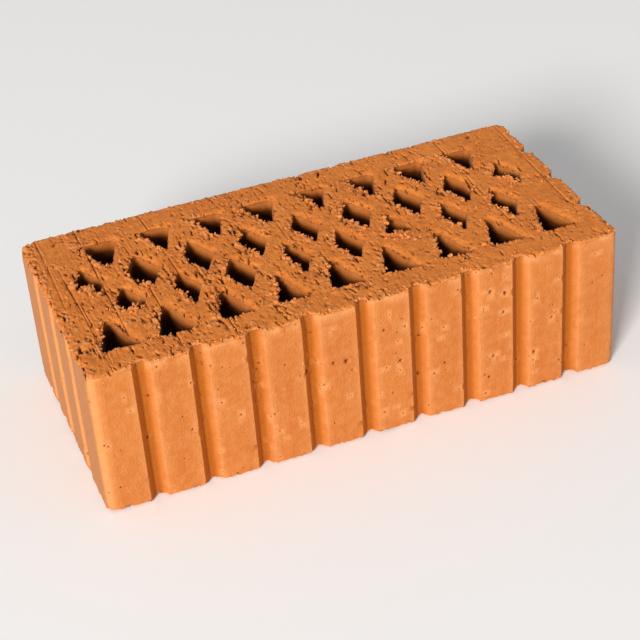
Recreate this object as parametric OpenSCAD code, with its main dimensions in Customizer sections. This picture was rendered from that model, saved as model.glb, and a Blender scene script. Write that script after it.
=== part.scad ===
// Perforated clay brick: one fired body, extruded upright and cut to height by wire.
// Its origin is the middle of the lower bed face. +X runs along the length, +Y points to the
// back long face and +Z points up, along the holes and the grooves. Every size is in millimetres.

/* [Brick] */
// Length, from end face to end face
brick_l = 240; // [200:1:290]
// Width, from long face to long face
brick_w = 115; // [95:1:140]
// Height, from one wire-cut bed face to the other
brick_h = 71; // [50:1:240]
// Radius of the four upright corners
corner_r = 4; // [1:0.5:8]

/* [Hole pattern] */
// Distance between neighbouring holes of a row
hole_pitch = 25; // [20:0.5:32]
// Distance between the two inner rows
row_pitch = 21.5; // [18:0.5:26]
// Clay left between a long face and the nearest row of holes
face_wall = 15.75; // [10:0.25:20]
// Least clay left between an end face and the full rows, before the shift
end_wall = 12; // [10:0.5:20]
// How far the whole pattern sits from the middle of the length
hole_shift = -1; // [-4:0.5:4]
// Radius of the corners of every hole
hole_corner_r = 1.6; // [0.8:0.1:2.5]

/* [Inner holes] */
// Width of a diamond hole, along the brick
diamond_w = 13.5; // [8:0.5:17]
// Length of a diamond hole, across the brick
diamond_l = 25; // [18:0.5:31]

/* [Outer holes] */
// Width of a wedge hole at its base, along the brick
wedge_w = 15.5; // [9:0.5:19]
// Length of a wedge hole from its base to its tip, across the brick
wedge_l = 21.5; // [14:0.5:26]

/* [Grooves] */
// Distance between neighbouring grooves of a long face
side_groove_pitch = 24.2; // [16:0.1:36]
// Distance between neighbouring grooves of an end face
end_groove_pitch = 27.5; // [16:0.5:36]
// Least flat left between a corner and the outermost groove
corner_land = 12; // [9:0.5:25]
// Width of a groove at the face
groove_mouth = 8; // [5:0.5:10]
// Width of a groove at its floor
groove_floor = 2.2; // [1.4:0.1:4]
// Depth of a groove
groove_depth = 3.3; // [1.5:0.1:4]
// Radius where a groove turns out into the face
shoulder_r = 0.8; // [0.2:0.1:1.2]
// Radius where a groove's walls meet its floor
root_r = 0.6; // [0.2:0.1:0.8]
// Grooves on the back long face as well, instead of a plain face
back_grooved = false;

/* [Hidden] */

// Flat pieces in the round of a corner
ARC_STEPS = 4;
// How far a hole's cutter runs past each bed face
CUT_PAST = 1;

half_l = brick_l / 2;
half_w = brick_w / 2;
// A full row holds as many holes as the end walls let in, and a half row sits in its gaps
full_row_count = floor((brick_l - 2 * end_wall - wedge_w) / hole_pitch) + 1;
half_row_count = full_row_count - 1;
inner_row_y = row_pitch / 2;
wedge_base_y = half_w - face_wall;

function unit(v) = v / norm(v);
function bearing(v) = atan2(v[1], v[0]);
// An angle brought between -180 and 180 degrees
function half_turn(a) = a - 360 * round(a / 360);

// Points of the arc of radius corner[2] that rounds off a corner between its two neighbours
function corner_arc(before, corner, after) =
    let (
        tip = [corner[0], corner[1]],
        u = unit([before[0], before[1]] - tip),
        v = unit([after[0], after[1]] - tip),
        half_angle = acos(u * v) / 2,
        reach = corner[2] / tan(half_angle),
        centre = tip + unit(u + v) * corner[2] / sin(half_angle),
        from = bearing(tip + u * reach - centre),
        sweep = half_turn(bearing(tip + v * reach - centre) - from)
    )
    [for (i = [0:ARC_STEPS])
        centre + corner[2] * [cos(from + sweep * i / ARC_STEPS), sin(from + sweep * i / ARC_STEPS)]];

// A closed outline of [x, y, radius] corners with each corner rounded
function rounded(corners) =
    let (n = len(corners))
    [for (i = [0:n - 1])
        each corner_arc(corners[(i + n - 1) % n], corners[i], corners[(i + 1) % n])];

// An anticlockwise outline drawn a distance r outside the given points, with round corners
function outline_around(points, r) =
    let (n = len(points))
    [for (i = [0:n - 1])
        let (
            from = bearing(points[i] - points[(i + n - 1) % n]) - 90,
            sweep = half_turn(bearing(points[(i + 1) % n] - points[i]) - 90 - from)
        )
        for (k = [0:ARC_STEPS])
            points[i] + r * [cos(from + sweep * k / ARC_STEPS), sin(from + sweep * k / ARC_STEPS)]];

// Grooves on each side of the middle one, on a face of the given length
function grooves_per_half(face_l, pitch) =
    floor((face_l / 2 - corner_land - groove_mouth / 2) / pitch);

// Corners of one face, as [distance along it, depth below it, radius], from its left corner
function face_corners(face_l, pitch) =
    let (n = grooves_per_half(face_l, pitch))
    [
        [-face_l / 2, 0, corner_r],
        for (i = [-n:n])
            each [
                [i * pitch - groove_mouth / 2, 0, shoulder_r],
                [i * pitch - groove_floor / 2, groove_depth, root_r],
                [i * pitch + groove_floor / 2, groove_depth, root_r],
                [i * pitch + groove_mouth / 2, 0, shoulder_r]
            ]
    ];

// Outline of the brick: front, right end, back and left end, anticlockwise from above
function brick_corners() =
    let (
        side = face_corners(brick_l, side_groove_pitch),
        end = face_corners(brick_w, end_groove_pitch),
        back = back_grooved ? side : [side[0]]
    )
    concat(
        [for (c = side) [c[0], c[1] - half_w, c[2]]],
        [for (c = end) [half_l - c[1], c[0], c[2]]],
        [for (c = back) [-c[0], half_w - c[1], c[2]]],
        [for (c = end) [c[1] - half_l, -c[0], c[2]]]
    );

// Centre of each hole along the brick, for a row of the given count
function row_places(count) =
    [for (i = [0:count - 1]) hole_shift + (i - (count - 1) / 2) * hole_pitch];

module diamond_hole() {
    tip_x = diamond_w / 2 - hole_corner_r;
    tip_y = diamond_l / 2 - hole_corner_r;
    polygon(outline_around([[0, -tip_y], [tip_x, 0], [0, tip_y], [-tip_x, 0]], hole_corner_r));
}

// A wedge with its base on the line y = 0 and its tip towards +Y
module wedge_hole() {
    base_x = wedge_w / 2 - hole_corner_r;
    tip_y = wedge_l - hole_corner_r;
    polygon(outline_around([[-base_x, hole_corner_r], [base_x, hole_corner_r], [0, tip_y]], hole_corner_r));
}

// The four rows, from the front: full, half, full and half
module hole_pattern() {
    for (x = row_places(full_row_count)) {
        translate([x, -wedge_base_y]) wedge_hole();
        translate([x, inner_row_y]) diamond_hole();
    }
    for (x = row_places(half_row_count)) {
        translate([x, -inner_row_y]) diamond_hole();
        translate([x, wedge_base_y]) mirror([0, 1]) wedge_hole();
    }
}

module brick() {
    color([0.84, 0.47, 0.24])
    difference() {
        linear_extrude(brick_h) polygon(rounded(brick_corners()));
        translate([0, 0, -CUT_PAST]) linear_extrude(brick_h + 2 * CUT_PAST) hole_pattern();
    }
}

brick();
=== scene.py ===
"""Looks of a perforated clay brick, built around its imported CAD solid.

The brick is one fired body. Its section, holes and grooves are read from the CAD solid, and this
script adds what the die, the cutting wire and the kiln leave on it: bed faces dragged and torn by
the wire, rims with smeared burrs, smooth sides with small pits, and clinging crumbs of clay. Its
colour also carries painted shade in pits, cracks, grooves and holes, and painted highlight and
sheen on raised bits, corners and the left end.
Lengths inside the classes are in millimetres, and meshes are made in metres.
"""
import logging
import math
from dataclasses import dataclass, field
from enum import Enum

import bmesh
import bpy
import numpy as np
from mathutils import Matrix, Vector, kdtree
from mathutils.geometry import delaunay_2d_cdt


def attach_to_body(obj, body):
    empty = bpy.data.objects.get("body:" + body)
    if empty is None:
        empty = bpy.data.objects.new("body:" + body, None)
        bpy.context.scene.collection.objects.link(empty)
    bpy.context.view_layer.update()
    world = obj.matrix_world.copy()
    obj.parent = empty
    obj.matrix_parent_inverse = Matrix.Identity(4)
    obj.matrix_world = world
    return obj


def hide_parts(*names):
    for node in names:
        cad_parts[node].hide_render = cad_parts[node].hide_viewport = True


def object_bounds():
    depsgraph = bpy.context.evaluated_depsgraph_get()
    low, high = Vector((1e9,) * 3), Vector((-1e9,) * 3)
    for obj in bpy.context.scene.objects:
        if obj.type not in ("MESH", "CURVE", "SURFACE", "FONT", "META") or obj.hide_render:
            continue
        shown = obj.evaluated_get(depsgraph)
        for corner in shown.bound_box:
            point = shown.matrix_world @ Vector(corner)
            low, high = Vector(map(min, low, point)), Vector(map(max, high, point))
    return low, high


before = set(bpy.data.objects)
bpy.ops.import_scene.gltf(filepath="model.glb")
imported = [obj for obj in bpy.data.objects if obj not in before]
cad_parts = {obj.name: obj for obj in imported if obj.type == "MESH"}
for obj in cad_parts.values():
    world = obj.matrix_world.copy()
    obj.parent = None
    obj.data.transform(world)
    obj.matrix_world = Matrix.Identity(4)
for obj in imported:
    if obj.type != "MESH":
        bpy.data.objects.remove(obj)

MM = 0.001
NODE = "brick"
BODY = "root"
# Point shades: painted shade (darkens), pale (paler clay, with painted highlight and sheen in places), sunk
# (painted deep-red shade in grooves and holes), cut (wire-cut beds)
SHADES = ("painted_shade", "pale", "sunk", "cut")
CAD_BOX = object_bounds()

# A face whose normal rises above this, and whose points lie this near the top, is the top face
FACES_UP = 0.9
SAME_HEIGHT = 0.01
# Points nearer than this are one point to the triangulation
MERGE_WITHIN = 1e-7

Array = np.ndarray
Socket = bpy.types.NodeSocket
log = logging.getLogger("brick")


def eased(t: Array) -> Array:
    """Smooth step from 0 to 1 as t goes from 0 to 1."""
    t = np.clip(t, 0.0, 1.0)
    return t * t * (3.0 - 2.0 * t)


def bell(distance: Array, width: float) -> Array:
    """A smooth hump that is 1 at no distance and nearly 0 past twice the width."""
    return np.exp(-((distance / width) ** 2))


def row_at(s: Array, z: float) -> Array:
    """Points at distances s along a wall, all at height z."""
    return np.stack([s, np.full(len(s), z)], 1)


class Bed(Enum):
    """The two wire-cut faces."""

    LOWER = "lower"
    UPPER = "upper"


@dataclass(frozen=True)
class Noise:
    """A smooth random field over a plane, the same on every run and with waves of chosen lengths."""

    seed: int
    wave_x: float
    wave_y: float
    layers: int = 1

    def _knots(self, ix: Array, iy: Array) -> Array:
        """Draws a random value for each pair of whole numbers.

        Args:
            ix: The first number of each pair.
            iy: The second number of each pair.

        Returns:
            Values between -1 and 1.
        """
        h = (ix * 374761393 + iy * 668265263 + self.seed * 974711) & 0xFFFFFFFF
        h = ((h ^ (h >> 13)) * 1274126177) & 0xFFFFFFFF
        return (h ^ (h >> 16)) / 0x7FFFFFFF - 1.0

    def _layer(self, x: Array, y: Array) -> Array:
        """One layer of the field.

        Args:
            x: First coordinate, in knots.
            y: Second coordinate, in knots.

        Returns:
            Values between -1 and 1.
        """
        ix, iy = np.floor(x).astype(np.int64), np.floor(y).astype(np.int64)
        u, v = eased(x - ix), eased(y - iy)
        near = self._knots(ix, iy) * (1 - u) + self._knots(ix + 1, iy) * u
        far = self._knots(ix, iy + 1) * (1 - u) + self._knots(ix + 1, iy + 1) * u
        return near * (1 - v) + far * v

    def at(self, x: Array, y: Array) -> Array:
        """The field at each point, each further layer finer and weaker than the last.

        Args:
            x: First coordinate, in millimetres.
            y: Second coordinate.

        Returns:
            Values between -1 and 1.
        """
        x, y = x / self.wave_x, y / self.wave_y
        total, weight, share = 0.0, 0.0, 1.0
        for k in range(self.layers):
            total = total + share * self._layer(x * 2**k + 17.3 * k, y * 2**k - 9.1 * k)
            weight, share = weight + share, share / 2
        return total / weight


@dataclass
class Outline:
    """A closed line in plan, in millimetres, with the clay on its left and the air on its right."""

    points: Array

    def __post_init__(self) -> None:
        """Measures the line round its corners."""
        runs = np.roll(self.points, -1, axis=0) - self.points
        steps = np.hypot(runs[:, 0], runs[:, 1])
        ends = np.cumsum(steps)
        self.length = float(ends[-1])
        self.places = np.concatenate([[0.0], ends[:-1]])
        airward = np.stack([runs[:, 1], -runs[:, 0]], 1) / steps[:, None]
        corner = airward + np.roll(airward, 1, axis=0)
        self._airward = corner / np.linalg.norm(corner, axis=1)[:, None]

    def read(self, values: Array, places: Array, s: Array) -> Array:
        """Values kept at places round the line, read at distances s along it."""
        closed, ends = np.vstack([values, values[:1]]), np.append(places, self.length)
        return np.stack([np.interp(np.mod(s, self.length), ends, column) for column in closed.T], 1)

    def at(self, s: Array) -> Array:
        """Points at distances s along the line."""
        return self.read(self.points, self.places, s)

    def airward(self, s: Array) -> Array:
        """Unit directions from the clay into the air at distances s."""
        n = self.read(self._airward, self.places, s)
        return n / np.linalg.norm(n, axis=1)[:, None]

    def turn(self, s: Array, reach: float = 1.2) -> Array:
        """How the line turns at distances s: 1 at a jutting square corner, -1 at a sunken one."""
        before, after = self.airward(s - reach), self.airward(s + reach)
        return before[:, 0] * after[:, 1] - before[:, 1] * after[:, 0]

    def refined(self, places: Array, step: float) -> Array:
        """Fills the gaps between places round the line.

        Args:
            places: Distances along the line, rising.
            step: The widest gap to leave.

        Returns:
            The places, with others between them.
        """
        gaps = zip(places, np.append(places[1:], self.length))
        return np.concatenate([np.linspace(a, b, max(1, math.ceil((b - a) / step)), endpoint=False)
                               for a, b in gaps])

    def stations(self, step: float) -> Array:
        """Distances of every corner, and of points between them no further apart than step."""
        return self.refined(self.places, step)


def inside(loop: Array, points: Array) -> Array:
    """Which points lie inside a closed loop.

    Args:
        loop: Corners of the loop.
        points: Points in its plane.

    Returns:
        One True or False for each point.
    """
    result = np.zeros(len(points), bool)
    near = np.flatnonzero(((points > loop.min(0)) & (points < loop.max(0))).all(axis=1))
    px, py = points[near].T
    odd = np.zeros(len(near), bool)
    for (ax, ay), (bx, by) in zip(loop, np.roll(loop, -1, axis=0)):
        if ay != by:
            crosses = (ay > py) != (by > py)
            odd ^= crosses & (px < ax + (py - ay) * (bx - ax) / (by - ay))
    result[near] = odd
    return result


def triangulated(points: Array, edges: list[tuple[int, int]]) -> Array:
    """Delaunay triangles over points in a plane, with the given edges kept.

    Args:
        points: Coordinates in the plane.
        edges: Pairs of point numbers.

    Returns:
        Three point numbers for each triangle, anticlockwise.
    """
    cells = delaunay_2d_cdt([Vector(p) for p in points.tolist()], edges, [], 0, MERGE_WITHIN)
    origin = np.array([first[0] for first in cells[3]])
    return origin[np.array(cells[2])]


@dataclass(frozen=True)
class Section:
    """The brick's outline and its holes, read from the CAD solid."""

    outer: Outline
    holes: list[Outline]
    height: float

    @staticmethod
    def read(node: bpy.types.Object) -> "Section":
        """Reads the loops round the top face of an upright solid.

        Args:
            node: The CAD object.

        Returns:
            The section, with the clay on the left of every loop.
        """
        mesh = node.data
        places = np.array([v.co for v in mesh.vertices]) / MM
        keys, place_of = np.unique(np.round(places, 3), axis=0, return_inverse=True)
        place_of = place_of.ravel()
        top = keys[:, 2].max()
        sides: set[tuple[int, int]] = set()
        for face in mesh.polygons:
            if face.normal.z > FACES_UP and abs(places[face.vertices[0]][2] - top) < SAME_HEIGHT:
                ids = [int(place_of[v]) for v in face.vertices]
                sides.update(zip(ids, ids[1:] + ids[:1]))
        follow = {a: b for a, b in sides if (b, a) not in sides}
        loops = []
        while follow:
            start, here = next(iter(follow.items()))
            ring = [start]
            del follow[start]
            while here != start:
                ring.append(here)
                here = follow.pop(here)
            loops.append(keys[ring, :2])
        loops.sort(key=lambda loop: -np.ptp(loop[:, 0]))
        outlines = [Outline(loop) for loop in loops]
        holes = sorted(outlines[1:], key=lambda o: tuple(np.round(o.points.mean(0), 1)))
        return Section(outlines[0], holes, float(top))


@dataclass(frozen=True)
class Marks:
    """Small bumps or dents on a flat face, each an ellipse that leans off the Y axis."""

    spots: Array
    half_w: Array
    half_l: Array
    lean: Array
    rise: Array
    edge: float = 1.3

    def pressed(self, x: Array, y: Array) -> Array:
        """Presses the marks into a flat face.

        Args:
            x: Distances along the face.
            y: Distances across it.

        Returns:
            The height that they give to each point, below zero in a dent.
        """
        order = np.argsort(x)
        height = np.zeros(len(x))
        mark_x, mark_y = self.spots.T
        reach = np.maximum(self.half_w, self.half_l)
        first = np.searchsorted(x[order], mark_x - reach)
        last = np.searchsorted(x[order], mark_x + reach)
        for k in range(len(mark_x)):
            ids = order[first[k]:last[k]]
            dx, dy = x[ids] - mark_x[k], y[ids] - mark_y[k]
            c, s = math.cos(self.lean[k]), math.sin(self.lean[k])
            across, along = (c * dx - s * dy) / self.half_w[k], (s * dx + c * dy) / self.half_l[k]
            height[ids] += self.rise[k] * np.clip(1.0 - across**2 - along**2, 0.0, 1.0) ** self.edge
        return height


@dataclass(frozen=True)
class Smear:
    """Clay dragged over part of the hole at a place, growing along a bearing in degrees."""

    x: float
    y: float
    amount: float
    bearing: float


@dataclass(frozen=True)
class DragLine:
    """A line that a hard grain scored across a bed face as the wire dragged it along."""

    x: float
    depth: float
    lean: float
    middle: float
    reach: float
    number: int
    fade_l: float = 9.0

    def at(self, y: Array) -> Array:
        """Where the line runs, at each distance across the face."""
        return self.x + self.lean * y + 0.25 * np.sin(y / 17 + self.number)

    def depth_at(self, y: Array, unevenness: Array) -> Array:
        """How deep the line is at each distance across the face, fading out at its ends."""
        fade = 1 - eased((np.abs(y - self.middle) - self.reach) / self.fade_l + 1)
        return self.depth * fade * (0.7 + 0.5 * unevenness)


@dataclass
class Rim:
    """The edge of a bed face round the brick or a hole, as torn by the wire.

    It holds the clean line, distances along it, where the torn edge at each one ended up in plan, and
    the direction in which the wire pushed the clay.
    """

    outline: Outline
    s: Array
    places: Array
    push: Array

    def __post_init__(self) -> None:
        """Works out how squarely the push meets the edge."""
        self.normal = self.outline.airward(self.s)
        self.pushed = self.normal @ self.push
        self.lift = np.zeros(len(self.s))

    def shift(self, s: Array) -> Array:
        """How far the edge moved off the clean one at distances s, in space."""
        moved = np.column_stack([self.places - self.outline.at(self.s), self.lift])
        return self.outline.read(moved, self.s, s)

    def spots_beside(self, rng: np.random.Generator, count: int, weight: Array,
                     spread: tuple[float, float, float]) -> Array:
        """Random places on the clay beside the edge.

        Args:
            rng: Where the random numbers come from.
            count: How many places.
            weight: How much each point of the edge is preferred.
            spread: Shape and scale of their spread away from the edge, and where it begins.

        Returns:
            Places in plan.
        """
        shape, scale, begin = spread
        picks = rng.choice(len(self.s), count, p=weight / weight.sum())
        away = rng.gamma(shape, scale, count)[:, None] + begin
        return self.places[picks] - self.normal[picks] * away


@dataclass
class BedFace:
    """One wire-cut face: its torn rims and the height of every point on it."""

    bed: Bed
    section: Section
    rim_step: float
    grid_w: float
    grid_l: float
    seed: int
    smears: tuple[Smear, ...] = ()
    same_hole: float = 6.0
    push: tuple[float, float] = (0.93, 0.37)
    half_lane: float = 0.6
    sunk: float = 0.9
    burr: float = 1.0
    burr_sizes: tuple[float, ...] = (0.12, 0.45, 0.75, 1.05)
    burr_odds: tuple[float, ...] = (0.2, 0.28, 0.32, 0.2)
    corner_wear: float = 0.9
    groove_reach: float = 4.0
    deep_lines: int = 12
    faint_lines: int = 44
    line_w: float = 0.21
    bank_w: float = 0.4
    line_sides: tuple[float, ...] = (-0.3, 0.0, 0.3)
    line_clear: float = 0.62
    cracks: int = 860
    specks: int = 1000
    hole_lumps: int = 22
    edge_lumps: int = 280
    swell: float = 0.16
    streak: float = 0.09
    scratch: float = 0.06
    grain: float = 0.07
    tear_depth: float = 1.15
    deepest: float = 1.8
    knob_rise: float = 0.75
    highest: float = 0.75
    jitter: float = 0.12
    crowding: float = 0.12
    rims: list[Rim] = field(init=False)

    def __post_init__(self) -> None:
        """Tears the rims and draws the random marks."""
        self.rng = np.random.default_rng(self.seed)
        self.half_l, self.half_w = np.abs(self.section.outer.points).max(axis=0).tolist()
        self.rims = [self._outer_rim()] + [self._hole_rim(hole) for hole in self.section.holes]
        self.rim_points = np.vstack([rim.places for rim in self.rims])
        self.rim_pushed = np.concatenate([rim.pushed for rim in self.rims])
        self.near_rim = kdtree.KDTree(len(self.rim_points))
        for k, (x, y) in enumerate(self.rim_points.tolist()):
            self.near_rim.insert((x, y, 0.0), k)
        self.near_rim.balance()
        self.lines = self._drawn_lines()
        self._draw_marks()

    def _noise(self, number: int, wave_x: float, wave_y: float, layers: int = 1) -> Noise:
        """One of the face's own random fields."""
        return Noise(self.seed + number, wave_x, wave_y, layers)

    def coarseness(self, x: Array) -> Array:
        """How rough the wire left the face at each distance along it."""
        return 1.0 - 0.36 * eased((x + 0.1 * self.half_l) / (1.1 * self.half_l))

    def _outer_rim(self) -> Rim:
        """Nibbles and chips the edge round the whole face.

        Returns:
            The edge, worn at the left corners and hung over the left end's grooves.
        """
        outline = self.section.outer
        s = outline.refined(outline.stations(2.4), self.rim_step * 1.2)
        p, n = outline.at(s), outline.airward(s)
        x, y = p.T
        fine = self._noise(1, 0.9, 0.9).at(x, y)
        wide = self._noise(2, 5, 5, 2).at(x, y)
        nibble = 0.18 + 0.18 * fine + 1.6 * np.clip(wide - 0.15, 0, 1) * (1 + 0.7 * fine)
        most = np.interp(outline.turn(s, 1.6), [0.0, 0.25], [1.6, 0.5])
        to_corner = np.hypot(x + self.half_l, np.abs(y) - self.half_w)
        worn = np.clip(nibble, 0.0, most) + self.corner_wear * bell(to_corner, 3.0)
        places = p - n * worn[:, None]
        hung = (x < self.groove_reach - self.half_l) & (np.abs(y) < 0.7 * self.half_w)
        places[:, 0] -= hung * (x + self.half_l) * np.clip(0.82 + 0.3 * wide, 0.5, 0.95)
        return Rim(outline, s, places, np.array(self.push))

    def _hole_rim(self, outline: Outline) -> Rim:
        """Tears the edge of one hole: ragged where the wire pushed clay into it, round across from there.

        Args:
            outline: The clean edge.

        Returns:
            The torn edge.
        """
        push = np.array(self.push)
        s = outline.refined(outline.stations(1.6), self.rim_step)
        p, n = outline.at(s), outline.airward(s)
        pushed = n @ push
        fine = self._noise(3, 0.75, 0.75).at(*p.T)
        wide = self._noise(4, 2.6, 2.6, 2).at(*p.T)
        much = self.burr * self.rng.choice(self.burr_sizes, p=self.burr_odds)
        burr = much * np.clip(pushed, 0.0, 1.0) ** 0.7 * (3.2 + 1.6 * wide + 1.1 * fine)
        burr = np.clip(burr, 0.0, 0.55 * self._room(p, pushed))
        soft = self.burr * (0.12 * fine - (1.1 + 0.5 * wide) * np.clip(-pushed, 0.0, 1.0))
        places = p + push * burr[:, None] + n * np.clip(soft, -1.6, 0.15)[:, None]
        middle = outline.points.mean(0)
        for smear in self.smears:
            if math.dist((smear.x, smear.y), middle) < self.same_hole:
                places = self._filled(places, smear.amount, math.radians(smear.bearing))
        if middle[1] > 0.4 * self.half_w:
            blunt, lean = self.rng.uniform(1.8, 4.2), self.rng.uniform(-8, 22)
            places = self._filled(places, self.burr * blunt, math.radians(90 + lean))
        return Rim(outline, s, places, push)

    def _room(self, points: Array, pushed: Array) -> Array:
        """How far a hole reaches from each point of its edge along the push.

        Args:
            points: Points round the hole.
            pushed: How squarely the push meets the edge at each, below zero on the far side.

        Returns:
            Distances, 0 where the far side isn't ahead.
        """
        push_x, push_y = self.push
        across = points[None] - points[:, None]
        ahead, aside = across @ np.array([push_x, push_y]), np.abs(across @ np.array([-push_y, push_x]))
        meets = (ahead > 0.0) & (aside < self.half_lane) & (pushed[None] < 0.0)
        room = np.where(meets, ahead, np.inf).min(axis=1)
        return np.where(np.isfinite(room), room, 0.0)

    def _filled(self, places: Array, amount: float, bearing: float) -> Array:
        """Cuts off the part of a hole that lies lowest along a bearing.

        Args:
            places: Points round the hole.
            amount: Depth of the part to close.
            bearing: Direction from the closed side across the hole.

        Returns:
            The points, with the closed side's drawn up to one ragged line.
        """
        ahead = np.array([math.cos(bearing), math.sin(bearing)])
        level = places @ ahead
        shut = level < level.min() + amount
        count = int(shut.sum())
        if count < 3 or count > 0.75 * len(places):
            return places
        turn = int(np.flatnonzero(~shut & np.roll(shut, -1))[0])
        rolled = np.roll(places, -turn, axis=0)
        start, end = rolled[0], rolled[count + 1]
        share = np.arange(1, count + 1)[:, None] / (count + 1)
        line = start + (end - start) * share
        ripple = self._noise(5, 0.8, 0.8).at(*line.T)
        swell = np.sin(math.pi * share[:, 0])
        rolled[1:count + 1] = line + ahead * (0.8 * ripple * swell + 0.4 * swell)[:, None]
        return np.roll(rolled, turn, axis=0)

    def _drawn_lines(self) -> list[DragLine]:
        """Chooses the drag lines.

        Returns:
            A few deep ones right across, and then many faint ones.
        """
        rng, count = self.rng, self.deep_lines + self.faint_lines
        deep = np.arange(count) < self.deep_lines
        left = rng.random(count) < np.where(deep, 0.5, 0.6)
        x = np.where(left, rng.uniform(-0.98, -0.45, count), rng.uniform(-0.45, 0.98, count))
        depth = np.where(deep, rng.uniform(0.6, 1.1, count), rng.uniform(0.18, 0.5, count))
        lean = rng.normal(0.0, 0.012, count)
        middle = rng.uniform(-0.7, 0.7, count)
        reach = np.where(deep, rng.uniform(0.35, 1.1, count), rng.uniform(0.2, 0.8, count))
        sizes = zip(x * self.half_l, depth, lean, middle * self.half_w, reach * self.half_w)
        return [DragLine(*size, number=k) for k, size in enumerate(sizes)]

    def _draw_marks(self) -> None:
        """Chooses the cracks, the low specks, and the lumps beside the holes and along the edge."""
        rng, edge = self.rng, self.rims[0]
        by_holes = self._spots_by_holes(self.cracks * 6 // 10 // len(self.rims), 0.15, (2.0, 1.3, -0.2))
        spots = np.vstack([by_holes, self._loose_spots(self.cracks * 4 // 10)])
        size = rng.gamma(2.0, 0.5, len(spots)) + 0.3
        self.cracked = Marks(spots, 0.24 + 0.06 * size, 0.5 + 0.75 * size,
                             rng.normal(0.1, 0.35, len(spots)), -(0.4 + 0.45 * size), edge=0.7)
        spots = self._loose_spots(self.specks)
        count = len(spots)
        size = rng.uniform(0.35, 0.75, count)
        specks = Marks(spots, size, size * rng.uniform(0.9, 1.8, count),
                       rng.normal(0.0, 0.4, count), rng.uniform(0.06, 0.28, count))
        weight = np.where(edge.places[:, 1] > 0.9 * self.half_w, 0.25, 1.0)
        weight *= np.where(edge.places[:, 0] < -0.97 * self.half_l, 2.5, 1.0)
        spots = np.vstack([self._spots_by_holes(self.hole_lumps, 2.2, (1.3, 0.9, -0.2)),
                           edge.spots_beside(rng, self.edge_lumps, weight, (1.3, 0.6, 0.0))])
        count = len(spots)
        size = rng.uniform(0.4, 1.1, count)
        lumps = Marks(spots, size, size * rng.uniform(0.6, 1.5, count),
                      rng.uniform(-1.5, 1.5, count), rng.uniform(0.2, 0.85, count))
        self.raised = (specks, lumps)

    def _loose_spots(self, count: int) -> Array:
        """Draws random places all over the face, fewer where it is smoother.

        Args:
            count: Places tried.

        Returns:
            One row (x, y) for each place kept.
        """
        x = self.rng.uniform(-self.half_l, self.half_l, count)
        x = x[self.rng.random(count) < self.coarseness(x)]
        return np.stack([x, self.rng.uniform(-self.half_w, self.half_w, len(x))], 1)

    def _spots_by_holes(self, each: int, bias: float, spread: tuple[float, float, float]) -> Array:
        """Random places on the clay round each hole.

        Args:
            each: How many round one hole.
            bias: How strongly the pushed side is preferred.
            spread: Their spread away from the rim, as Rim.spots_beside takes it.

        Returns:
            Places in plan.
        """
        spots = []
        for rim in self.rims[1:]:
            weight = np.clip(rim.pushed + 0.15, 0.06, 1.0) ** bias
            spots.append(rim.spots_beside(self.rng, each, weight, spread))
        return np.vstack(spots)

    def on_clay(self, points: Array) -> Array:
        """Which points in plan lie on the clay of the face, and not outside it or in its holes."""
        outer, *holes = (inside(rim.places, points) for rim in self.rims)
        return outer & ~np.any(holes, axis=0)

    def grid(self) -> Array:
        """Spreads points over the clay of the face for its mesh.

        Returns:
            Staggered points clear of the rims, closer together at the left, and along the deep lines.
        """
        rng = np.random.default_rng(self.seed)
        nx, ny = int(2 * self.half_l / self.grid_w), int(2 * self.half_w / self.grid_l)
        i, j = np.meshgrid(np.arange(nx), np.arange(ny))
        along = (i + 0.5 * (j % 2) + 0.25 + rng.uniform(-self.jitter, self.jitter, i.shape)) / nx
        x = (2.0 * ((1.0 - self.crowding) * along + self.crowding * along**2) - 1.0) * self.half_l
        y = (j + 0.5) * self.grid_l - self.half_w
        y = y.ravel() + rng.uniform(-self.jitter, self.jitter, y.size) * self.grid_l
        points = np.stack([x.ravel(), y], 1)
        run = np.arange(0.5 - self.half_w, self.half_w, self.grid_l)
        for line in self.lines[:self.deep_lines]:
            scored = run[np.abs(run - line.middle) < line.reach]
            rows = [np.stack([line.at(scored) + side, scored], 1) for side in self.line_sides]
            points = points[np.abs(points[:, 0] - line.at(points[:, 1])) > self.line_clear]
            points = np.vstack([points] + rows)
        points = points[self.on_clay(points)]
        return points[self.nearest_rim(points)[0] > 0.42 * self.grid_w + 0.15]

    def nearest_rim(self, points: Array) -> tuple[Array, Array]:
        """Distance from each point to the nearest rim point, and that point's number."""
        found = [self.near_rim.find((x, y, 0.0))[1:] for x, y in points.tolist()]
        return np.array([f[1] for f in found]), np.array([f[0] for f in found])

    def _torn_clay(self, x: Array, y: Array, near: Array) -> tuple[Array, Array]:
        """The ragged pits and knobs that the wire tore out of the clay and left on it.

        Args:
            x: Distances along the face.
            y: Distances across it.
            near: 1 beside a hole, falling to 0 away from it.

        Returns:
            Shares of the full depth and rise.
        """
        u = x + 0.6 * self._noise(21, 1.9, 1.9).at(x, y)
        v = y + 1.0 * self._noise(22, 2.3, 2.3).at(x, y)
        patch = self._noise(23, 8, 13, 2).at(x, y)
        torn = self._noise(24, 0.9, 2.6, 2).at(u + 0.1 * v, v - 0.1 * u)
        knobs = self._noise(25, 1.25, 1.5, 2).at(u - 0.3 * v, v + 0.3 * u)
        ease = self.coarseness(x) * (0.3 + 0.45 * patch) + 0.42 * near
        ease += 0.5 * self.burr * bell(x + self.half_l - 2.0, 3.6)
        dents = eased((torn - 0.66 + 0.5 * ease) / 0.15) * np.clip(0.45 + 0.8 * ease, 0.3, 1.0)
        rises = eased((knobs - 0.65 + 0.5 * ease) / 0.2) * np.clip(0.4 + 0.8 * ease, 0.3, 1.0)
        return dents, rises

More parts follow.
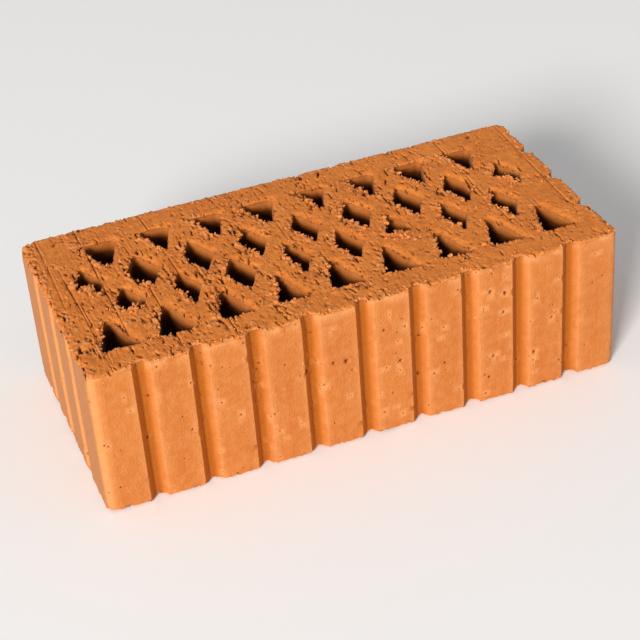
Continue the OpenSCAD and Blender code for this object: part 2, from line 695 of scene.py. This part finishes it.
    def _dragged(self, x: Array, y: Array) -> tuple[Array, Array]:
        """Runs the drag lines over the face.

        Args:
            x: Distances along the face.
            y: Distances across it.

        Returns:
            Depth of the lines, and height of the clay heaped beside them.
        """
        depth, heaped = np.zeros(len(x)), np.zeros(len(x))
        for line in self.lines:
            off = x - line.at(y)
            deep = line.depth_at(y, self._noise(60 + line.number, 7, 90).at(y, y))
            heaped += 0.3 * deep * bell(off - 0.7, self.bank_w)
            depth += deep * bell(off, self.line_w)
        return depth, heaped

    def surface(self, points: Array) -> tuple[Array, Array]:
        """Shapes the face at chosen points.

        Args:
            points: Places in plan.

        Returns:
            Their heights above the lower bed, and their shades.
        """
        x, y = points.T
        rough = self.coarseness(x)
        to_rim, rim_point = self.nearest_rim(points)
        pushed = self.rim_pushed[rim_point]
        by_edge = rim_point < len(self.rims[0].s)
        rolled = 0.25 + 0.5 * eased((6.0 - self.half_l - x) / 3.0)
        soft = np.where(by_edge, rolled, np.clip(-pushed, 0.0, 1.0))
        hard = np.where(by_edge, 0.3, np.clip(pushed + 0.3, 0.0, 1.0))
        height = self.swell * self._noise(6, 38, 38, 2).at(x, y)
        height += self.streak * rough * self._noise(7, 1.3, 15, 2).at(x, y)
        height += self.scratch * rough * self._noise(8, 0.8, 4.2).at(x, y)
        height += self.grain * self._noise(9, 1.1, 1.3).at(x, y)
        near = bell(to_rim, 4.5) * (0.35 + 0.65 * hard) * (1 - 0.9 * soft * bell(to_rim, 2.0))
        torn, knobs = self._torn_clay(x, y, near)
        lines, heaped = self._dragged(x, y)
        bumps = sum(marks.pressed(x, y) for marks in self.raised)
        height += self.highest * np.tanh((bumps + self.knob_rise * knobs) / self.highest) + heaped
        dents = np.maximum(self.cracked.pressed(x, y) - self.tear_depth * torn, -self.deepest)
        height += dents - lines - (0.15 + 0.9 * soft) * bell(to_rim, 0.4 + 1.1 * soft)
        height = np.minimum(height, self.sunk - 0.02)
        crust = bell(to_rim, 1.0) * np.clip(0.5 + self._noise(10, 2.2, 2.2).at(x, y), 0, 1)
        # Painted shade darkens the dents, the drag lines and the rounded side of each hole's rim
        painted_lip_shade = np.where(by_edge, 0.0, 0.34 * soft * bell(to_rim, 1.3))
        painted_shade = np.clip(-dents / 1.3 + 0.9 * lines + painted_lip_shade, 0.0, 0.92)
        # Raised bits are paler: partly paler clay, partly a painted highlight; the pale crust by the outer
        # edge is the clay's own
        pale = np.clip((height - 0.10) / 0.38, 0.0, 1.0) + 0.8 * by_edge * crust
        shades = np.column_stack([painted_shade, pale, np.zeros(len(x)), np.ones(len(x))])
        if self.bed is Bed.UPPER:
            return self.section.height - self.sunk + height, shades
        return self.sunk - height, shades


@dataclass
class Pits:
    """Small pits and pale flakes in the drawn sides, most of them in loose groups."""

    count: int
    length: float
    height: float
    seed: int
    flake_rise: float = 0.2

    def __post_init__(self) -> None:
        """Chooses their places, sizes and depths."""
        rng, count, whole = np.random.default_rng(self.seed), self.count, [self.length, self.height]
        group = rng.integers(0, max(1, count // 6), count)
        near = rng.normal(0.0, 6.0, (count, 2))
        middle = rng.uniform(0.0, 1.0, (count, 2))[group] * whole
        alone = rng.random(count) < 0.45
        spread = rng.uniform(0.0, 1.0, (count, 2)) * whole
        spot = np.where(alone[:, None], spread, middle + near)
        self.s = np.clip(spot[:, 0], 4, self.length - 4)
        self.z = np.clip(spot[:, 1], 3, self.height - 3)
        self.r = 0.25 + rng.gamma(1.3, 0.15, count)
        self.long = rng.uniform(1.0, 1.6, count)
        self.depth = self.r * rng.uniform(0.9, 1.5, count)
        self.is_ringed = rng.random(count) < 0.4
        self.is_flake = rng.random(count) < 0.24

    def points(self) -> Array:
        """Lays rings of mesh points in and around each pit.

        Returns:
            Distances along and heights of the points.
        """
        found = [np.zeros((0, 2))]
        for s, z, r, long in zip(self.s, self.z, self.r, self.long):
            for share, count in ((0.0, 1), (0.6, 5), (1.0, 6), (1.5, 5)):
                turn = np.arange(count) * 2 * math.pi / count + share
                aside, above = r * share * np.cos(turn), long * r * share * np.sin(turn)
                found.append(np.stack([s + aside, z + above], 1))
        return np.vstack(found)

    def press(self, s: Array, z: Array, relief: Array) -> None:
        """Sinks the pits into a wall with painted shade inside them, and lifts its flakes.

        Args:
            s: Distances of its points along the outline.
            z: Their heights.
            relief: How far each stands out, and its painted shade and paleness, changed in place.
        """
        depth, painted_shade, pale = relief.T
        for k in range(self.count):
            ids = np.flatnonzero(np.abs(s - self.s[k]) < 3 * self.r[k])
            away = np.hypot(s[ids] - self.s[k], (z[ids] - self.z[k]) / self.long[k]) / self.r[k]
            dent = np.clip(1 - away**2, 0, 1) ** 0.6
            if self.is_flake[k]:
                depth[ids] = np.minimum(depth[ids] + self.flake_rise * dent, -Skin.least_inset)
                pale[ids] = np.maximum(pale[ids], dent)
                continue
            depth[ids] -= self.depth[k] * dent
            # Painted shade darkens the inside of each pit
            painted_shade[ids] = np.maximum(painted_shade[ids], 0.85 * dent)
            if self.is_ringed[k]:
                pale[ids] = np.maximum(pale[ids], bell(away - 1.35, 0.4))


@dataclass
class Skin:
    """The smooth extruded face of a wall, from the lower bed to the upper one."""

    outline: Outline
    upper: Rim
    lower: Rim
    height: float
    column_step: float
    row_step: float
    pit_count: int
    seed: int
    is_hole: bool
    inset: float = 0.22
    least_inset: float = 0.02
    rim_rows: tuple[float, float] = (0.4, 1.0)
    corner_reach: float = 4.5
    # How much painted shade darkens the left end face
    end_painted_shade: float = 0.42
    crust_depth: float = 0.22

    def __post_init__(self) -> None:
        """Draws the pits."""
        self.pits = Pits(self.pit_count, self.outline.length, self.height, self.seed)

    def levels(self) -> Array:
        """Spaces the rows of points between the beds, closer together near them.

        Returns:
            Their heights, from the lower bed up.
        """
        near = np.array([0.4, 1.0, 2.1, 3.8])
        rows = max(2, round((self.height - 12) / self.row_step))
        return np.concatenate([near, np.linspace(6, self.height - 6, rows + 1), self.height - near[::-1]])

    def points(self) -> Array:
        """Spreads points over the wall for its mesh, apart from its seam.

        Returns:
            Distances along the outline, and heights.
        """
        s, z = np.meshgrid(self.outline.stations(self.column_step)[1:], self.levels())
        spots = [np.stack([s.ravel(), z.ravel()], 1)]
        first, second = self.rim_rows
        for rim, edge, way in ((self.upper, self.height, -1), (self.lower, 0.0, 1)):
            spots += [row_at(rim.s[1:], edge + way * first), row_at(rim.s[2::2], edge + way * second)]
        return np.vstack([np.unique(np.round(np.vstack(spots), 5), axis=0), self.pits.points()])

    def placed(self, s: Array, z: Array) -> tuple[Array, Array]:
        """Where points of the wall lie.

        Args:
            s: Distances along the outline.
            z: Heights above the lower bed.

        Returns:
            Places in space, and shades.
        """
        p, n = self.outline.at(s), self.outline.airward(s)
        round_x, round_y = p[:, 0] + 0.37 * p[:, 1], p[:, 1] - 0.41 * p[:, 0]
        depth = 0.10 * Noise(self.seed + 1, 23, 31, 2).at(round_x, z)
        depth += 0.03 * Noise(self.seed + 2, 1.3, 24).at(round_y, z)
        depth = np.minimum(depth - self.inset, -self.least_inset)
        if self.is_hole:
            # Hole walls: painted shade and painted deep-red shade, growing with depth from either bed
            into = np.minimum(z, self.height - z)
            painted_shade, pale = 0.36 + 0.62 * eased((into - 0.4) / 9.0), np.zeros(len(z))
            sunk = 0.8 * eased(into / 6.0)
        else:
            patchy = 0.5 + 0.5 * Noise(self.seed + 3, 7, 9, 2).at(round_x, z)
            crust = bell(self.height - z, 2.4 + 2.0 * patchy) * eased((patchy - 0.3) / 0.25)
            # Convex corners and groove shoulders are paler: partly wear, partly a painted highlight
            worn = np.clip(self.outline.turn(s, 2.6), 0.0, 1.0) * (0.3 + 0.7 * patchy)
            painted_shade, pale, sunk = self._side_shades(s, np.maximum(crust, 0.95 * worn))
            depth -= self.crust_depth * crust * (0.5 + 0.5 * Noise(self.seed + 4, 1.1, 0.9).at(round_x, z))
        relief = np.column_stack([depth, painted_shade, pale])
        self.pits.press(s, z, relief)
        places = np.column_stack([p + n * relief[:, :1], z])
        for rim, below in ((self.upper, self.height - z), (self.lower, z)):
            aside = np.interp(below, [0, 0.4, 1.2, 3.0, 5.6], [1, 0.85, 0.5, 0.14, 0])
            down = np.interp(below, [0, 14], [1, 0])
            places += rim.shift(s) * np.stack([aside, aside, down], 1)
        return places, np.column_stack([relief[:, 1:], sunk, np.zeros(len(s))])

    def _side_shades(self, s: Array, pale_crust_and_highlight: Array) -> tuple[Array, Array, Array]:
        """Shades of the brick's sides: painted shade in the grooves, and painted sheen and shade at the
        left end.

        Args:
            s: Distances along the outline.
            pale_crust_and_highlight: How pale the upper edge's crust is, and the corners with their wear
                and painted highlight.

        Returns:
            Painted shade, paleness, and painted deep-red groove shade.
        """
        p, n = self.outline.at(s), self.outline.airward(s)
        half_l, half_w = np.abs(self.outline.points).max(axis=0)
        from_end, from_side = half_l - np.abs(p[:, 0]), half_w - np.abs(p[:, 1])
        at_corner = (from_end < self.corner_reach) & (from_side < self.corner_reach)
        below = np.minimum(from_end, from_side)
        # Painted shadow on the groove walls that face +x, away from the key light
        painted_shadow_side = eased(n[:, 0] / 0.35) * eased((below + 0.02) / 0.2)
        # Painted deep-red shade, deeper down the grooves, none at the rounded corners
        sunk = np.where(at_corner, 0.0, np.maximum(0.75 * eased((below - 1.4) / 1.8), 0.95 * painted_shadow_side))
        # The left end face is painted paler with sheen and darker with shade
        painted_end_sheen_and_shade = eased((5.5 - half_l - p[:, 0]) / 3.0)
        # Painted shade in the sunken turns of the outline
        painted_crease_shade = np.clip(-0.5 * self.outline.turn(s), 0.0, 0.42)
        painted_shade = np.maximum(painted_crease_shade, self.end_painted_shade * painted_end_sheen_and_shade * eased((-n[:, 0] - 0.7) / 0.3))
        return painted_shade, np.maximum(pale_crust_and_highlight, 0.85 * painted_end_sheen_and_shade), sunk


@dataclass
class Shell:
    """A closed mesh gathered from patches that share their rim points."""

    places: list[Array] = field(default_factory=list)
    shades: list[Array] = field(default_factory=list)
    faces: list[Array] = field(default_factory=list)
    count: int = 0

    def add_points(self, places: Array, shades: Array) -> Array:
        """Adds points with their shades.

        Args:
            places: Places in space, in millimetres.
            shades: Each one's painted shade, paleness, painted deep-red shade (sunk) and wire-cut share,
                from 0 to 1.

        Returns:
            The new points' numbers.
        """
        self.places.append(places)
        self.shades.append(shades)
        numbers = np.arange(self.count, self.count + len(places))
        self.count += len(places)
        return numbers

    def built(self, name: str) -> bpy.types.Object:
        """Makes the Blender object."""
        return mesh_object(name, np.vstack(self.places), np.vstack(self.faces), np.vstack(self.shades))


def mesh_object(name: str, places: Array, triangles: Array, shades: Array,
                smooth: bool = True) -> bpy.types.Object:
    """Makes a mesh object, with any point outside the CAD box brought back onto it.

    Args:
        name: The piece's name.
        places: Points in millimetres.
        triangles: Three point numbers for each face.
        shades: Each point's painted shade, paleness, painted deep-red shade (sunk) and wire-cut share.
        smooth: Whether its faces are shaded as one round surface.

    Returns:
        The linked object.
    """
    mesh = bpy.data.meshes.new(name)
    boxed = np.clip(places * MM, np.array(CAD_BOX[0]), np.array(CAD_BOX[1]))
    mesh.from_pydata(boxed.tolist(), [], triangles.tolist())
    for shade, values in zip(SHADES, shades.T):
        layer = mesh.attributes.new(shade, "FLOAT", "POINT")
        layer.data.foreach_set("value", values.astype(np.float32))
    mesh.polygons.foreach_set("use_smooth", np.full(len(triangles), smooth))
    mesh.update()
    mesh.validate()
    piece = bpy.data.objects.new(name, mesh)
    bpy.context.scene.collection.objects.link(piece)
    return piece


@dataclass
class FiredBody:
    """The fired clay body as one closed mesh."""

    section: Section
    upper: BedFace
    lower: BedFace
    side_pits: int = 600
    side_steps: tuple[float, float] = (3.0, 4.2)
    hole_steps: tuple[float, float] = (4.0, 16.0)
    first_seed: int = 700

    def build(self) -> bpy.types.Object:
        """Builds both beds and every wall, and closes them into one mesh.

        Returns:
            The body.
        """
        shell = Shell()
        upper_rims = self._add_bed(shell, self.upper)
        lower_rims = self._add_bed(shell, self.lower)
        for k, outline in enumerate([self.section.outer] + self.section.holes):
            is_hole = k > 0
            column_step, row_step = self.hole_steps if is_hole else self.side_steps
            skin = Skin(
                outline, self.upper.rims[k], self.lower.rims[k], self.section.height, column_step, row_step,
                pit_count=0 if is_hole else self.side_pits, seed=self.first_seed + k, is_hole=is_hole,
            )
            self._add_wall(shell, skin, upper_rims[k], lower_rims[k])
        return shell.built("fired_body")

    def _add_bed(self, shell: Shell, face: BedFace) -> list[Array]:
        """Adds a bed face.

        Args:
            shell: The mesh being gathered.
            face: The bed face.

        Returns:
            The point numbers of each rim.
        """
        flat = np.vstack([face.rim_points, face.grid()])
        height, shades = face.surface(flat)
        numbers = shell.add_points(np.column_stack([flat, height]), shades)
        clean = face.section.height if face.bed is Bed.UPPER else 0.0
        edges, rims, first = [], [], 0
        for rim in face.rims:
            ids = np.arange(first, first + len(rim.s))
            rim.lift = height[ids] - clean
            edges += list(zip(ids.tolist(), np.roll(ids, -1).tolist()))
            rims.append(numbers[ids])
            first += len(rim.s)
        squeezed = flat * np.array([1.0, face.grid_w / face.grid_l * 1.1])
        triangles = triangulated(squeezed, edges)
        triangles = triangles[face.on_clay(flat[triangles].mean(axis=1))]
        if face.bed is Bed.LOWER:
            triangles = triangles[:, ::-1]
        shell.faces.append(numbers[triangles])
        log.info("%s bed: %d rim points, %d triangles", face.bed.value, first, len(triangles))
        return rims

    @staticmethod
    def _add_wall(shell: Shell, skin: Skin, upper: Array, lower: Array) -> None:
        """Adds a wall between two rims that are already in the mesh.

        Args:
            shell: The mesh being gathered.
            skin: The wall.
            upper: Point numbers of its upper rim.
            lower: Point numbers of its lower rim.
        """
        inner, levels, length = skin.points(), skin.levels(), skin.outline.length
        seam = np.stack([np.zeros(len(levels)), levels], 1)
        free = np.vstack([inner, seam])
        numbers = shell.add_points(*skin.placed(free[:, 0], free[:, 1]))
        plane = np.vstack([
            free,
            seam + [length, 0.0],
            row_at(np.append(skin.upper.s, length), skin.height),
            row_at(np.append(skin.lower.s, length), 0.0),
        ])
        ids = np.concatenate([numbers, numbers[len(inner):], upper, upper[:1], lower, lower[:1]])
        triangles = ids[triangulated(plane, [])]
        whole = (triangles != np.roll(triangles, 1, axis=1)).all(axis=1)
        shell.faces.append(triangles[whole])


@dataclass
class Crumbs:
    """Loose grains of fired clay stuck to the upper bed and its rims."""

    face: BedFace
    near_rims: int = 15
    on_edge: int = 170
    scattered: int = 420
    in_smears: int = 16
    largest: float = 0.95
    seed: int = 90

    def build(self) -> bpy.types.Object:
        """Builds every crumb into one mesh.

        Returns:
            The crumbs.
        """
        rng = np.random.default_rng(self.seed)
        spots, sizes = self._spots(rng)
        height, _ = self.face.surface(spots)
        corners, faces = self._ball()
        places, triangles, shades = [], [], []
        ceiling = self.face.section.height - 0.02
        for k, ((x, y), size, z) in enumerate(zip(spots, sizes, height)):
            stretch = rng.uniform(0.45, 1.35, 3) * size
            turn = Matrix.Rotation(rng.uniform(0, 6.28), 3, Vector(rng.normal(size=3)).normalized())
            pull = corners @ rng.normal(size=(3, 5))
            lumpy = corners * (1 + 0.2 * np.sin(2.3 * pull).sum(axis=1, keepdims=True))
            blob = (lumpy * stretch) @ np.array(turn).T + np.array([x, y, z + 0.2 * size])
            blob[:, 2] = np.minimum(blob[:, 2], ceiling)
            places.append(blob)
            triangles.append(faces + k * len(corners))
            shades.append(np.tile([0.0, rng.uniform(0.2, 1.0), 0.0, 1.0], (len(corners), 1)))
        stacks = (np.vstack(part) for part in (places, triangles, shades))
        return mesh_object("clay_crumbs", *stacks, smooth=False)

    def _spots(self, rng: np.random.Generator) -> tuple[Array, Array]:
        """Scatters the crumbs: by the rims, in the smears, along the edge and over the face.

        Args:
            rng: Where the random numbers come from.

        Returns:
            Places in plan, and half sizes.
        """
        spots, sizes = [], []
        for rim in self.face.rims[1:]:
            weight = np.clip(rim.pushed, 0.02, 1.0) ** 1.3
            spots.append(rim.spots_beside(rng, self.near_rims, weight, (1.3, 1.0, -0.4)))
            sizes.append(0.25 + rng.gamma(1.3, 0.24, self.near_rims))
        for smear in self.face.smears:
            spots.append(rng.normal(0.0, 2.6, (self.in_smears, 2)) + [smear.x, smear.y - 6])
            sizes.append(rng.uniform(0.3, 0.9, self.in_smears))
        edge = self.face.rims[0]
        weight = np.where(edge.places[:, 1] > 0.9 * self.face.half_w, 0.2, 1.0)
        spots.append(edge.spots_beside(rng, self.on_edge, weight, (1.5, 0.6, 0.5)))
        sizes.append(rng.uniform(0.2, 0.6, self.on_edge))
        free = self.face.grid()
        spots.append(free[rng.choice(len(free), self.scattered)])
        sizes.append(rng.uniform(0.18, 0.45, self.scattered))
        return np.vstack(spots), np.minimum(np.concatenate(sizes), self.largest)

    @staticmethod
    def _ball() -> tuple[Array, Array]:
        """Makes a unit ball of eighty faces.

        Returns:
            Its corners, and three corner numbers for each face.
        """
        ball = bmesh.new()
        bmesh.ops.create_icosphere(ball, subdivisions=2, radius=1.0)
        corners = np.array([v.co[:] for v in ball.verts])
        faces = np.array([[v.index for v in f.verts] for f in ball.faces])
        ball.free()
        return corners, faces


@dataclass
class Nodes:
    """Shorthand for laying out a material's node tree."""

    name: str

    def __post_init__(self) -> None:
        """Starts an empty material with its surface shader."""
        self.material = bpy.data.materials.new(self.name)
        self.material.use_nodes = True
        self.tree = self.material.node_tree
        self.shader = self.tree.nodes["Principled BSDF"]

    def feed(self, node: bpy.types.Node, inputs: dict) -> None:
        """Joins sockets to a node's inputs, or sets their values.

        Args:
            node: The node.
            inputs: A socket or a value for each input, by name or number.
        """
        for key, value in inputs.items():
            if isinstance(value, Socket):
                self.tree.links.new(value, node.inputs[key])
            else:
                node.inputs[key].default_value = value

    def add(self, kind: str, inputs: dict | None = None, **settings) -> bpy.types.Node:
        """Adds a node.

        Args:
            kind: The node's type.
            inputs: A socket or a value for each input, by name or number.
            settings: The node's own properties.

        Returns:
            The node.
        """
        node = self.tree.nodes.new(kind)
        for key, value in settings.items():
            setattr(node, key, value)
        self.feed(node, inputs or {})
        return node

    def shade(self, name: str) -> Socket:
        """A shade kept at the mesh's points."""
        return self.add("ShaderNodeAttribute", attribute_name=name).outputs["Fac"]

    def stretched(self, x: float, y: float, z: float) -> Socket:
        """Object coordinates scaled along each axis, from metres."""
        place = self.add("ShaderNodeTexCoord").outputs["Object"]
        return self.add("ShaderNodeMapping", {"Vector": place, "Scale": (x, y, z)}).outputs["Vector"]

    def noise(self, vector: Socket, detail: float = 3.0, rough: float = 0.55) -> Socket:
        """A noise texture's value over a vector."""
        inputs = {"Vector": vector, "Scale": 1.0, "Detail": detail, "Roughness": rough}
        return self.add("ShaderNodeTexNoise", inputs).outputs["Fac"]

    def ramp(self, value: Socket, low: float, high: float) -> Socket:
        """Brings the span from low to high of a value to 0 to 1, smoothly."""
        inputs = {"Value": value, "From Min": low, "From Max": high}
        return self.add("ShaderNodeMapRange", inputs, interpolation_type="SMOOTHSTEP").outputs["Result"]

    def times(self, a: Socket | float, b: Socket | float) -> Socket:
        """The product of two values."""
        return self.add("ShaderNodeMath", {0: a, 1: b}, operation="MULTIPLY").outputs[0]

    def plus(self, a: Socket | float, b: Socket | float) -> Socket:
        """The sum of two values."""
        return self.add("ShaderNodeMath", {0: a, 1: b}, operation="ADD").outputs[0]

    def blend(self, share: Socket, a: Socket | tuple, b: Socket | tuple) -> Socket:
        """Colour a turning to colour b as share goes from 0 to 1."""
        return self.add("ShaderNodeMix", {0: share, 6: a, 7: b}, data_type="RGBA").outputs[2]


@dataclass(frozen=True)
class FiredClay:
    """Matt orange fired clay, rough where the wire cut it and smooth where the die drew it."""

    skin: tuple = (0.575, 0.180, 0.038, 1)
    skin_deep: tuple = (0.515, 0.148, 0.028, 1)
    skin_pale: tuple = (0.640, 0.255, 0.084, 1)
    # Deep red of the painted shade in grooves and hole walls
    painted_shade_red: tuple = (0.500, 0.128, 0.006, 1)
    cut: tuple = (0.795, 0.242, 0.038, 1)
    cut_deep: tuple = (0.610, 0.158, 0.020, 1)
    # Pale clay of crusts, flakes and crumbs, also a painted highlight on raised bits and corners and
    # painted sheen at the left end
    pale_clay_and_highlight: tuple = (0.780, 0.345, 0.132, 1)
    # Near-black colour of the painted shade
    painted_shade: tuple = (0.034, 0.004, 0.001, 1)
    roughness: float = 0.72
    shine: float = 0.12
    sheen: float = 0.06
    sheen_roughness: float = 0.35
    bump: float = 0.9
    bump_depth: float = 0.00035

    def material(self) -> bpy.types.Material:
        """Builds the node material.

        Returns:
            The material.
        """
        n = Nodes("fired clay")
        is_cut = n.shade("cut")
        grain = n.ramp(n.noise(n.stretched(1300, 1300, 1300), 2.0, 0.5), 0.3, 0.75)
        rough = n.plus(n.times(grain, 0.12), n.plus(n.times(is_cut, 0.08), self.roughness))
        n.feed(n.shader, {
            "Base Color": self._colour(n, is_cut, grain), "Roughness": rough,
            "Normal": self._bump(n, is_cut, grain), "Specular IOR Level": self.shine,
            "Sheen Weight": self.sheen, "Sheen Roughness": self.sheen_roughness,
        })
        return n.material

    def _colour(self, n: Nodes, is_cut: Socket, grain: Socket) -> Socket:
        """Lays the colours over each other, from the clay itself to the painted shade of its hollows.

        Args:
            n: The material's nodes.
            is_cut: 1 on the beds and 0 on the sides.
            grain: Fine grain.

        Returns:
            The colour.
        """
        clouds = n.ramp(n.noise(n.stretched(45, 45, 45), 4.0, 0.6), 0.36, 0.68)
        mottle = n.ramp(n.noise(n.stretched(260, 260, 260), 3.0, 0.6), 0.35, 0.7)
        drawn = n.ramp(n.noise(n.stretched(170, 170, 9), 3.0, 0.55), 0.36, 0.66)
        scuffs = n.ramp(n.noise(n.stretched(70, 70, 40), 5.0, 0.7), 0.62, 0.76)
        specks = n.ramp(n.noise(n.stretched(700, 700, 700), 1.0, 0.5), 0.74, 0.80)
        skin = n.blend(n.plus(n.times(clouds, 0.6), n.times(drawn, 0.4)), self.skin_deep, self.skin)
        skin = n.blend(n.times(mottle, 0.36), skin, self.skin_pale)
        cut = n.blend(n.plus(n.times(mottle, 0.6), n.times(clouds, 0.4)), self.cut_deep, self.cut)
        cut = n.blend(n.times(grain, 0.22), cut, self.pale_clay_and_highlight)
        colour = n.blend(is_cut, skin, cut)
        # Paler clay, with painted highlight and sheen where pale marks them
        colour = n.blend(n.times(n.shade("pale"), 0.6), colour, self.pale_clay_and_highlight)
        colour = n.blend(n.times(scuffs, 0.6), colour, self.skin_pale)
        colour = n.blend(n.times(specks, 0.6), colour, self.cut_deep)
        # Painted deep-red shade in the grooves and hole walls
        colour = n.blend(n.shade("sunk"), colour, self.painted_shade_red)
        # Painted shade: darkens dents, drag lines, pits, hole walls, sunken turns and the left end
        return n.blend(n.ramp(n.shade("painted_shade"), 0.1, 1.0), colour, self.painted_shade)

    def _bump(self, n: Nodes, is_cut: Socket, grain: Socket) -> Socket:
        """Grain finer than the mesh: wire streaks on the beds and die streaks on the sides.

        Args:
            n: The material's nodes.
            is_cut: 1 on the beds and 0 on the sides.
            grain: Fine grain.

        Returns:
            The normal.
        """
        wire = n.noise(n.stretched(1300, 210, 600), 3.0, 0.6)
        torn = n.ramp(n.noise(n.stretched(800, 480, 800), 2.0, 0.6), 0.30, 0.44)
        die = n.noise(n.stretched(900, 900, 30), 2.0, 0.5)
        on_cut = n.times(is_cut, n.plus(n.times(wire, 0.7), n.times(torn, 0.9)))
        not_cut = n.add("ShaderNodeMath", {0: 1.0, 1: is_cut}, operation="SUBTRACT").outputs[0]
        on_skin = n.times(not_cut, n.plus(n.times(die, 0.2), n.times(grain, 0.3)))
        height = n.plus(n.plus(on_cut, on_skin), n.times(grain, 0.15))
        inputs = {"Height": height, "Strength": self.bump, "Distance": self.bump_depth}
        return n.add("ShaderNodeBump", inputs).outputs["Normal"]


@dataclass(frozen=True)
class PaleFloor:
    """A plain pale sheet under the brick, in metres."""

    half: float = 12.0
    colour: tuple = (0.96, 0.96, 0.96, 1)
    colour_low: tuple = (0.94, 0.94, 0.94, 1)
    roughness: float = 0.9

    def build(self) -> bpy.types.Object:
        """Builds and dresses the sheet.

        Returns:
            The sheet.
        """
        h = self.half
        mesh = bpy.data.meshes.new("floor")
        mesh.from_pydata([(-h, -h, 0), (h, -h, 0), (h, h, 0), (-h, h, 0)], [], [(0, 1, 2, 3)])
        floor = bpy.data.objects.new("floor", mesh)
        bpy.context.scene.collection.objects.link(floor)
        n = Nodes("pale floor")
        colour = n.blend(n.noise(n.stretched(6, 6, 6)), self.colour_low, self.colour)
        n.feed(n.shader, {"Base Color": colour, "Roughness": self.roughness})
        mesh.materials.append(n.material)
        return floor


@dataclass(frozen=True)
class Studio:
    """Soft daylight from the left, a white surround and the camera, in metres and degrees."""

    azimuth: float = -19.05
    elevation: float = 34.2
    roll: float = -4.6
    distance: float = 0.7624
    lens: float = 96.3
    sensor: float = 36.0
    clip: tuple[float, float] = (0.01, 50.0)
    target: tuple = (-0.0044, -0.0123, 0.0355)
    key_from: tuple = (-0.62, -0.69, 0.41)
    key_distance: float = 6.0
    key_size: float = 1.5
    key_watts: float = 425.0
    key_colour: tuple = (1.0, 0.98, 0.95)
    surround: float = 0.40

    def build(self) -> None:
        """Makes the floor, lights, surround and camera."""
        PaleFloor().build()
        self._key()
        self._surround()
        self._camera()
        settings = bpy.context.scene.view_settings
        settings.view_transform = "Standard"
        settings.look = "None"

    def _key(self) -> None:
        """The main soft light."""
        lamp = bpy.data.lights.new("key", "AREA")
        lamp.size, lamp.energy, lamp.color = self.key_size, self.key_watts, self.key_colour
        key = bpy.data.objects.new("key", lamp)
        way = Vector(self.key_from).normalized()
        key.location = Vector(self.target) + way * self.key_distance
        key.rotation_euler = way.to_track_quat("Z", "Y").to_euler()
        bpy.context.scene.collection.objects.link(key)

    def _surround(self) -> None:
        """An even white surround."""
        world = bpy.data.worlds.new("surround")
        world.use_nodes = True
        back = world.node_tree.nodes["Background"]
        back.inputs["Color"].default_value = (1, 1, 1, 1)
        back.inputs["Strength"].default_value = self.surround
        bpy.context.scene.world = world

    def _camera(self) -> None:
        """The camera, tilted a little."""
        a, e, r = (math.radians(v) for v in (self.azimuth, self.elevation, self.roll))
        back = Vector((math.sin(a) * math.cos(e), -math.cos(a) * math.cos(e), math.sin(e)))
        right = Vector((0, 0, 1)).cross(back).normalized()
        up = back.cross(right)
        tilted_right = math.cos(r) * right + math.sin(r) * up
        tilted_up = math.cos(r) * up - math.sin(r) * right
        lens = bpy.data.cameras.new("camera")
        lens.lens, lens.sensor_width = self.lens, self.sensor
        lens.clip_start, lens.clip_end = self.clip
        camera = bpy.data.objects.new("camera", lens)
        turn = Matrix((tilted_right, tilted_up, back)).transposed().to_4x4()
        camera.matrix_world = Matrix.Translation(Vector(self.target) + back * self.distance) @ turn
        bpy.context.scene.collection.objects.link(camera)
        bpy.context.scene.camera = camera


def attach(piece: bpy.types.Object, clay: bpy.types.Material) -> None:
    """Dresses a piece in clay, rides it on the body and reports it.

    Args:
        piece: The piece.
        clay: Its material.
    """
    piece.data.materials.append(clay)
    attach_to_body(piece, BODY)
    log.info("%s: %d triangles", piece.name, len(piece.data.polygons))


def main() -> None:
    """Builds the studio, the fired body and its crumbs, in that order."""
    logging.basicConfig(level=logging.INFO, format="%(name)s: %(message)s")
    Studio().build()
    section = Section.read(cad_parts[NODE])
    log.info("section: %d holes, outline %.0f mm", len(section.holes), section.outer.length)
    smears = (
        Smear(99, 10.75, 5.2, 40), Smear(36.5, -10.75, 11.0, 100), Smear(36.5, -10.75, 3.0, 180),
        Smear(-101, 10.75, 5.5, 45), Smear(-88.5, -10.75, 6.5, 75),
    )
    upper = BedFace(Bed.UPPER, section, rim_step=0.66, grid_w=0.56, grid_l=0.83, seed=11, smears=smears)
    lower = BedFace(Bed.LOWER, section, rim_step=1.7, grid_w=1.9, grid_l=2.4, seed=53, burr=0.35)
    clay = FiredClay().material()
    body = FiredBody(section, upper, lower).build()
    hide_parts(NODE)
    attach(body, clay)
    attach(Crumbs(upper).build(), clay)


if __name__ == "__main__":
    main()
